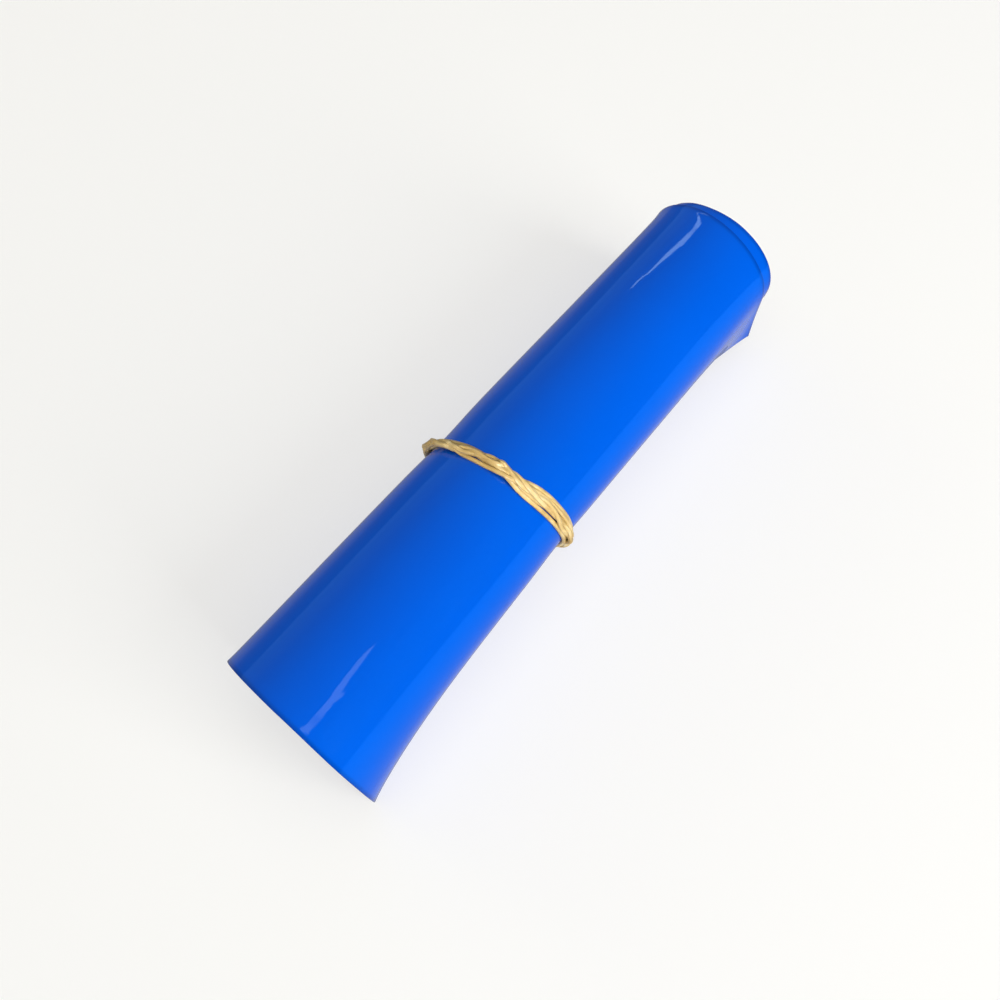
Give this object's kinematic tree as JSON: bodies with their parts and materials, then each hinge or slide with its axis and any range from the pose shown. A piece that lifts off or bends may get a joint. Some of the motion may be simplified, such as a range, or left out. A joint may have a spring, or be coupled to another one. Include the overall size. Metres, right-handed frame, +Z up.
{
  "type": "battery pack heat-shrink sleeve roll",
  "caption": "Blue lay-flat heat-shrink sleeve for battery packs, rolled across its width into a hollow roll and held at mid-length by crossed rubber bands.",
  "frame": {"origin": "centre of the footprint, on the plane the roll lies on", "axes": "+X along the roll towards its tight end, +Z up, the film's free end comes down on the -Y side"},
  "size_m": [0.1834, 0.0516, 0.0497],
  "materials": {
    "blue_pvc": "glossy, smooth, slightly wavy film",
    "natural_rubber": "semi-gloss natural rubber, slightly translucent"
  },
  "bodies": {
    "film_roll": {"film_sleeve": "blue_pvc"},
    "rubber_bands": {"rubber_band_1": "natural_rubber", "rubber_band_2": "natural_rubber", "rubber_band_3": "natural_rubber"}
  },
  "joints": [
    {"name": "band_slide_off", "type": "slide", "parent": "film_roll", "child": "rubber_bands", "axis": [1, 0, 0], "range_m": [0, 0.112], "deforming": ["rubber_band_1", "rubber_band_2", "rubber_band_3"]}
  ]
}
